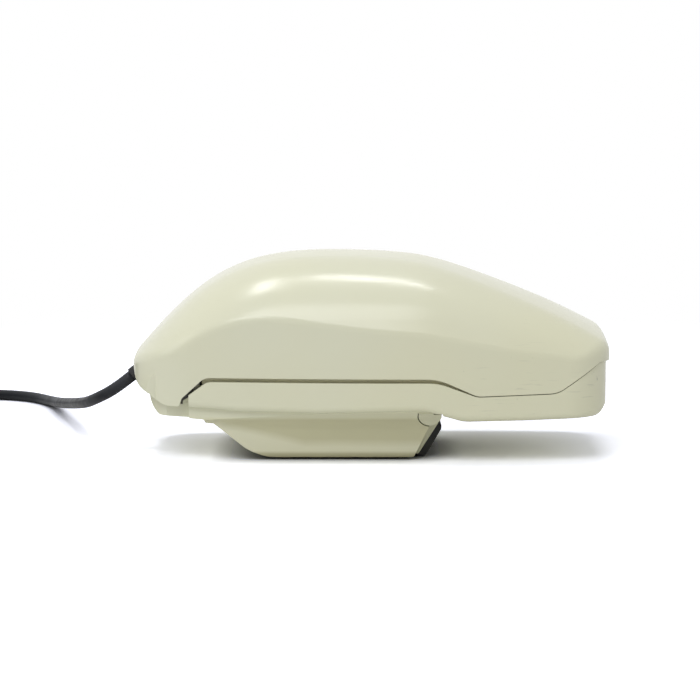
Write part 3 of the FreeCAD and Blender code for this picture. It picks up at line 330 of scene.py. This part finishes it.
def belly_painted_shade_and_light(surface, base, colour):
    """Painted shade under the side band, painted bounce light on the lower belly, and a painted shade line
    along the belly's rounded lower edge.
    """
    apart = surface.tree.nodes.new("ShaderNodeSeparateXYZ")
    surface.link(surface.place, apart.inputs["Vector"])
    x, z = apart.outputs["X"], apart.outputs["Z"]
    leftwards = surface.maths("SUBTRACT", surface.maths("MULTIPLY", x, -1.0), BELLY_RISE_FROM)
    rise = surface.maths("MAXIMUM", surface.maths("MULTIPLY", leftwards, BELLY_RISE_SLOPE), 0.0)
    uneven = surface.maths("MULTIPLY", surface.noise(70.0, 2.0), PAINTED_SHADE_EDGE)
    level = surface.maths("ADD", surface.maths("SUBTRACT", z, rise), uneven)
    level = surface.maths("MULTIPLY", level, HEIGHTS_PER_METRE)
    height = surface.maths("MULTIPLY", z, HEIGHTS_PER_METRE)
    # Painted shade under the side band's overhang.
    shade_under_band = surface.maths("MULTIPLY", surface.ramp(level, [(0.20, 0.0), (0.32, 0.85)]),
                               surface.ramp(height, [(0.58, 1.0), (0.63, 0.0)]))
    # Painted bounce light from the floor, lighter on the lower belly.
    belly = surface.ramp(height, [(0.52, 1.0), (0.63, 0.0)])
    base = surface.mix(belly, base, tinted(colour, BELLY_PAINTED_BOUNCE_LIGHT))
    base = surface.mix(shade_under_band, base, tinted(colour, UNDER_BAND_PAINTED_SHADE))
    # Painted shade on the belly's rounded lower edge.
    shade_on_lower_edge = surface.ramp(height, [(0.02, 0.9), (0.09, 0.6), (0.13, 0.0)])
    return surface.mix(shade_on_lower_edge, base, tinted(colour, LOWER_EDGE_PAINTED_SHADE))


def rubber(name, colour, rough):
    """Dark rubber or cord sheath with a fine grain and dusty patches."""
    surface = Surface(name, rough)
    dusty = tuple(c * 1.7 + 0.01 for c in colour)
    surface.colour(surface.ramp(surface.noise(70.0, 4.0), [(0.42, colour), (0.75, dusty)]))
    surface.gloss(surface.noise(240.0, 3.0), rough - 0.06, rough + 0.12)
    surface.relief(surface.noise(1500.0, 2.0), 0.15, 0.0001)
    surface.shader.inputs["Specular IOR Level"].default_value = 0.2
    return surface.material


def metal(name, colour, rough, grain=(1.0, 14.0, 1.0)):
    """Plated or bare metal with a drawn grain and duller patches."""
    surface = Surface(name, rough, 1.0)
    surface.colour(surface.ramp(surface.noise(50.0, 3.0), [(0.35, colour), (0.7, shade(colour, 0.8))]))
    drawn = surface.noise(260.0, 3.0, surface.stretched(grain))
    surface.gloss(drawn, rough - 0.08, rough + 0.12)
    surface.relief(drawn, 0.12, 0.0001)
    return surface.material


def board_material():
    """Brown resin-bonded paper with copper tracks shining through the varnish."""
    surface = Surface("board", 0.35)
    fibre = surface.noise(300.0, 3.0, surface.stretched((1.0, 6.0, 1.0)))
    base = surface.ramp(fibre, [(0.3, (0.20, 0.10, 0.04)), (0.7, (0.32, 0.18, 0.08))])
    bricks = surface.tree.nodes.new("ShaderNodeTexBrick")
    bricks.inputs["Scale"].default_value = 90.0
    bricks.inputs["Mortar Size"].default_value = 0.06
    surface.link(surface.place, bricks.inputs["Vector"])
    surface.colour(surface.mix(bricks.outputs["Fac"], base, (0.48, 0.26, 0.10)))
    surface.relief(bricks.outputs["Fac"], 0.3, 0.0001)
    return surface.material


IVORY = (0.735, 0.738, 0.57)
FINISHES = {
    "ivory_shell": moulded("ivory_shell", IVORY, 0.22),
    "ivory_flap": moulded("ivory_flap", IVORY, 0.22, painted_tone=belly_painted_shade_and_light),
    # The face plate's darker, more olive colour is painted shade for its lip, which shows deep in the seam
    # gap.
    "ivory_face": moulded("ivory_face", (0.66, 0.635, 0.45), 0.34, 0.5),
    "number_ring": moulded("number_ring", (0.80, 0.78, 0.66), 0.31, 0.3),
    "dial_plastic": moulded("dial_plastic", (0.66, 0.63, 0.48), 0.22, 0.5),
    "dial_cap": moulded("dial_cap", (0.60, 0.57, 0.43), 0.20, 0.3),
    "steel": metal("steel", (0.60, 0.60, 0.58), 0.30),
    "screw_steel": metal("screw_steel", (0.50, 0.50, 0.48), 0.36, (9.0, 1.0, 1.0)),
    "brass": metal("brass", (0.70, 0.52, 0.24), 0.28),
    "capsule_metal": metal("capsule_metal", (0.66, 0.66, 0.64), 0.34, (1.0, 1.0, 12.0)),
    "dark_plastic": moulded("dark_plastic", (0.05, 0.045, 0.04), 0.38, 0.5, (1.3, 1.2, 1.1)),
    "board": board_material(),
    "coil_tape": moulded("coil_tape", (0.42, 0.30, 0.08), 0.40, 0.4),
    "black_rubber": rubber("black_rubber", (0.022, 0.022, 0.023), 0.55),
    "cord_sheath": rubber("cord_sheath", (0.016, 0.018, 0.022), 0.46),
    "plug_plastic": moulded("plug_plastic", (0.72, 0.70, 0.56), 0.31),
    "digits": rubber("digits", (0.03, 0.03, 0.035), 0.45),
}
# The lower moulding has painted shade and painted bounce light at its own places, so it has a finish of its
# own.
OWN_FINISH = {"flap_shell": "ivory_flap"}


def finish_nodes():
    """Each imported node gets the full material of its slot."""
    for part in frame["record"]["subparts"]:
        thing = frame["nodes"][part["node"]]
        for k in range(len(thing.material_slots)):
            thing.material_slots[k].material = FINISHES[OWN_FINISH.get(part["node"], part["material_slot"])]


# Digits on the number ring, seen through the finger holes. Looked at from below with the earpiece
# up, right is +Y, and the holes follow each other anticlockwise from 1 to 0.
DIAL_X = -17.0
FINGER_PITCH = 20.8
RING_FACE = 28.4
DIGIT_HEIGHT = 5.6
FONT_SIZE_PER_HEIGHT = 1.4
DIGIT_THICKNESS = 0.03
DIGIT_SINK = 0.02
FIRST_HOLE, HOLE_STEP = 60, 30


def text_mesh(name, text, height):
    """A flat figure with a slight thickness, in metres, centred on its own origin."""
    curve = bpy.data.curves.new(name, "FONT")
    curve.body = text
    curve.size = height * MM * FONT_SIZE_PER_HEIGHT
    curve.align_x = "CENTER"
    curve.align_y = "CENTER"
    curve.extrude = DIGIT_THICKNESS * MM
    curve.resolution_u = 4
    holder = bpy.data.objects.new(name, curve)
    mesh = bpy.data.meshes.new_from_object(holder)
    bpy.data.objects.remove(holder)
    bpy.data.curves.remove(curve)
    low, high = mesh_box(mesh)
    middle = (low + high) / 2
    mesh.transform(Matrix.Translation(-middle))
    return mesh


def mesh_box(mesh):
    """The mesh's lowest and highest corner."""
    corners = [v.co for v in mesh.vertices]
    return (Vector([min(c[k] for c in corners) for k in range(3)]),
            Vector([max(c[k] for c in corners) for k in range(3)]))


def make_digits():
    """The figures 1 to 9 and 0 on the number ring, one in each finger hole."""
    facing_down = Matrix(((0, 1, 0), (1, 0, 0), (0, 0, -1))).to_4x4()
    for k, text in enumerate("1234567890"):
        angle = math.radians(FIRST_HOLE - HOLE_STEP * k)
        mesh = text_mesh("digit_" + text, text, DIGIT_HEIGHT)
        place = Vector((DIAL_X + FINGER_PITCH * math.cos(angle), FINGER_PITCH * math.sin(angle),
                        RING_FACE - DIGIT_SINK))
        mesh.transform(Matrix.Translation(place * MM) @ facing_down)
        mesh.materials.clear()
        mesh.materials.append(FINISHES["digits"])
        digit = bpy.data.objects.new("digit_" + text, mesh)
        bpy.context.scene.collection.objects.link(digit)
        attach(digit, "body")


# Detail pieces, given by outlines in X and Z in millimetres that run across the telephone.
HINGE = (-65.9, 22.9)
WEB_OUTER, WEB_INNER, WEB_PLATE_INNER = 9.75, 9.15, 6.7
WEB_CORNER = (-72.5, 21.3)
WASHER_RADIUS = 6.3
WASHER_INSIDE, WASHER_OUTSIDE = 30.42, 30.7
# The line at which the dark washer ends and the pale web of the band's toe begins. The dark washer is painted
# shade: a flush dark piece that stands for the shaded gap at the toe.
TOE_EDGE = [(-63.3, 19.56), (-63.2, 20.75), (-61.1, 22.0)]
WASHER_BACK = [(-63.6, 26.0), (-63.6, 21.3), (-64.0, 20.7), (-64.0, 19.56)]
NOTCH_BEAD = [(16.2, 16.95), (21.2, 16.95), (21.2, 17.5), (16.2, 17.5)]
ROCKER_FACE = [(15.3, 1.4), (16.5, 1.2), (23.4, 12.0), (23.2, 13.4), (20.6, 13.0)]
RUBBER_STRIP = [(15.9, 0.75), (18.2, 0.3), (19.3, 1.0), (24.4, 9.6), (24.5, 10.9), (23.2, 12.2), (22.6, 12.0),
                (15.9, 1.3)]
ROCKER_FACE_HALF, RUBBER_HALF = 22.8, 21.0


def arc_points(radius, start, end, steps):
    """Points on an arc about the hinge, its angles in degrees from +X towards +Z."""
    angles = [math.radians(start + (end - start) * k / steps) for k in range(steps + 1)]
    return [(HINGE[0] + radius * math.cos(a), HINGE[1] + radius * math.sin(a)) for a in angles]


def on_both_sides(*slices):
    """Slices of one side, each an outline and its two distances from the middle, made for both sides."""
    return [(outline, side * near, side * far) for side in (-1, 1) for outline, near, far in slices]


def across(name, blocks, body, slot, bevel, finish=None):
    """One piece of several outlines, each run across from one Y to another, with rounded edges."""
    verts, faces = [], []
    for outline, start, end in blocks:
        count, first = len(outline), len(verts)
        verts += [Vector((x, y, z)) * MM for y in (start, end) for x, z in outline]
        faces.append(tuple(range(first, first + count)))
        faces.append(tuple(reversed(range(first + count, first + 2 * count))))
        for k in range(count):
            a, b = first + k, first + (k + 1) % count
            faces.append((b, a, a + count, b + count))
    piece = mesh_piece(name, verts, faces, body)
    shaped = bmesh.new()
    shaped.from_mesh(piece.data)
    bmesh.ops.recalc_face_normals(shaped, faces=shaped.faces)
    shaped.to_mesh(piece.data)
    shaped.free()
    rounding = piece.modifiers.new("rounding", "BEVEL")
    rounding.width = bevel * MM
    rounding.segments = 3
    rounding.limit_method = "ANGLE"
    rounding.angle_limit = math.radians(35)
    piece.data.set_sharp_from_angle(angle=math.radians(40))
    piece.data.materials.append(FINISHES[finish or slot])
    return piece


def make_hinge_details():
    """The webs that close the shell's corners over the barrel's ends, and what shows in the hinge gap: flush
    dark washers that are painted shade for the gap, and the pale webs of the band's toe.
    """
    ring = arc_points(WEB_OUTER, 95, 172, 14) + arc_points(WEB_INNER, 172, 95, 14)
    plate = arc_points(WEB_OUTER, 95, 174, 14) + [WEB_CORNER] + arc_points(WEB_PLATE_INNER, 196, 95, 14)
    webs = on_both_sides((ring, 22.0, 30.6), (plate, 30.5, 31.25))
    across("corner_webs", webs, "body", "ivory_shell", 0.2)
    washer = TOE_EDGE + arc_points(WASHER_RADIUS, -5, 50, 6) + WASHER_BACK
    washers = on_both_sides((washer, WASHER_INSIDE, WASHER_OUTSIDE))
    # Painted shade: flush dark washers that stand for the shaded hinge gap.
    across("hinge_gap_shade", washers, "flap", "dark_plastic", 0.05)
    toe = arc_points(WASHER_RADIUS, -32, -5, 4) + TOE_EDGE[::-1]
    toes = on_both_sides((toe, WASHER_INSIDE, WASHER_OUTSIDE))
    across("toe_webs", toes, "flap", "ivory_shell", 0.05, "ivory_flap")


def make_notch_beads():
    """The bead along the top of the notches in the belly, over the rocker's ends."""
    beads = on_both_sides((NOTCH_BEAD, 37.4, 38.6))
    across("notch_beads", beads, "flap", "ivory_shell", 0.1, "ivory_flap")


def make_hook_details():
    """The rocker's rounded face and the rubber strip on it, which show at the belly's slanted end."""
    face = [(ROCKER_FACE, -ROCKER_FACE_HALF, ROCKER_FACE_HALF)]
    across("rocker_face", face, "hook", "ivory_shell", 0.6)
    strip = across("rubber_strip", [(RUBBER_STRIP, -RUBBER_HALF, RUBBER_HALF)], "hook", "black_rubber", 0.5)
    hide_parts("hook_pad")


# The studio in metres. The colours are for what lights the object, what it mirrors, and what the view sees.
FLOOR_SIZE = 12
FLOOR_PLAIN = (0.8, 0.8, 0.8)
FLOOR_MIRRORED = (1.05, 1.05, 1.05)
FLOOR_SEEN = (1.75, 1.78, 1.96)
FLOOR_NEAR, FLOOR_FAR = 0.25, 0.45
CONTACT_SHADOW = 0.011
WORLD_PLAIN = (0.39, 0.39, 0.39)
BLACK, WHITE = (0.0, 0.0, 0.0), (1.0, 1.0, 1.0)
MIRRORED = ["Is Glossy Ray", "Is Transmission Ray"]
SEEN = ["Is Camera Ray"] + MIRRORED
LAMPS_AIM = Vector((0, 0, 0.03))
# Each lamp's place, width, length, power, and how strongly it shows as a highlight.
LAMPS = {
    "overhead": ((0.07, 0.08, 1.25), 0.40, 0.12, 2.2, 0.35),
    "upper_left": ((-0.33, 0.06, 1.18), 0.34, 0.14, 2.3, 0.7),
    "front_fill": ((-0.3, -1.2, 1.2), 0.9, 0.7, 8.0, 0.0),
    "left_fill": ((-1.3, -0.5, 0.7), 0.8, 0.8, 2.4, 0.3),
}


def area_lamp(name, place, width, length, power, gloss):
    """A soft rectangular lamp that points at the object."""
    light = bpy.data.lights.new(name, "AREA")
    light.shape = "RECTANGLE"
    light.size = width
    light.size_y = length
    light.energy = power
    light.specular_factor = gloss
    lamp = bpy.data.objects.new(name, light)
    bpy.context.scene.collection.objects.link(lamp)
    lamp.location = place
    lamp.rotation_mode = "QUATERNION"
    lamp.rotation_quaternion = (Vector(place) - LAMPS_AIM).to_track_quat("Z", "Y")


def for_rays(tree, kinds, plain, seen):
    """A colour for the named kinds of rays, and the plain one for the others."""
    path = tree.nodes.new("ShaderNodeLightPath")
    which = path.outputs[kinds[0]]
    for kind in kinds[1:]:
        either = tree.nodes.new("ShaderNodeMath")
        either.operation = "MAXIMUM"
        tree.links.new(which, either.inputs[0])
        tree.links.new(path.outputs[kind], either.inputs[1])
        which = either.outputs["Value"]
    mix = tree.nodes.new("ShaderNodeMix")
    mix.data_type = "RGBA"
    for value, socket in ((plain, mix.inputs[6]), (seen, mix.inputs[7])):
        if isinstance(value, tuple):
            socket.default_value = (*value, 1)
        else:
            tree.links.new(value, socket)
    tree.links.new(which, mix.inputs["Factor"])
    return mix.outputs[2]


def floor_material():
    """A pale floor that shows the object's shadow near it, darkened further by a painted contact shadow close
    to the object, and is plain white further off.
    """
    material = bpy.data.materials.new("floor")
    material.use_nodes = True
    tree = material.node_tree
    shader = tree.nodes["Principled BSDF"]
    shader.inputs["Roughness"].default_value = 0.9
    shader.inputs["Specular IOR Level"].default_value = 0.1
    # An ambient occlusion node paints a darker contact shadow into the floor's seen colour close to the
    # object.
    painted_contact_shadow = tree.nodes.new("ShaderNodeAmbientOcclusion")
    painted_contact_shadow.inputs["Distance"].default_value = CONTACT_SHADOW
    painted_contact_shadow.inputs["Color"].default_value = (*FLOOR_SEEN, 1)
    mirrored = for_rays(tree, MIRRORED, FLOOR_PLAIN, FLOOR_MIRRORED)
    shown = for_rays(tree, ["Is Camera Ray"], mirrored, painted_contact_shadow.outputs["Color"])
    tree.links.new(shown, shader.inputs["Base Color"])
    place = tree.nodes.new("ShaderNodeTexCoord").outputs["Object"]
    reach = tree.nodes.new("ShaderNodeVectorMath")
    reach.operation = "LENGTH"
    tree.links.new(place, reach.inputs[0])
    far = tree.nodes.new("ShaderNodeMapRange")
    far.inputs["From Min"].default_value = FLOOR_NEAR
    far.inputs["From Max"].default_value = FLOOR_FAR
    tree.links.new(reach.outputs["Value"], far.inputs["Value"])
    both = tree.nodes.new("ShaderNodeMath")
    both.operation = "MULTIPLY"
    tree.links.new(far.outputs["Result"], both.inputs[0])
    tree.links.new(for_rays(tree, SEEN, BLACK, WHITE), both.inputs[1])
    white = tree.nodes.new("ShaderNodeEmission")
    blend = tree.nodes.new("ShaderNodeMixShader")
    tree.links.new(both.outputs["Value"], blend.inputs["Fac"])
    tree.links.new(shader.outputs["BSDF"], blend.inputs[1])
    tree.links.new(white.outputs["Emission"], blend.inputs[2])
    tree.links.new(blend.outputs["Shader"], tree.nodes["Material Output"].inputs["Surface"])
    return material


def studio():
    """A floor that keeps the object's shadow, a white background and soft lamps."""
    bpy.ops.mesh.primitive_plane_add(size=FLOOR_SIZE)
    floor = bpy.context.object
    floor.name = "floor"
    floor.data.materials.append(floor_material())
    world = bpy.data.worlds.new("studio")
    bpy.context.scene.world = world
    world.use_nodes = True
    tree = world.node_tree
    tree.links.new(for_rays(tree, SEEN, WORLD_PLAIN, WHITE), tree.nodes["Background"].inputs["Color"])
    for name, values in LAMPS.items():
        area_lamp(name, *values)


bpy.context.scene.view_settings.view_transform = "Standard"
set_up_camera()
finish_nodes()
make_cord()
make_digits()
make_hinge_details()
make_hook_details()
make_notch_beads()
studio()
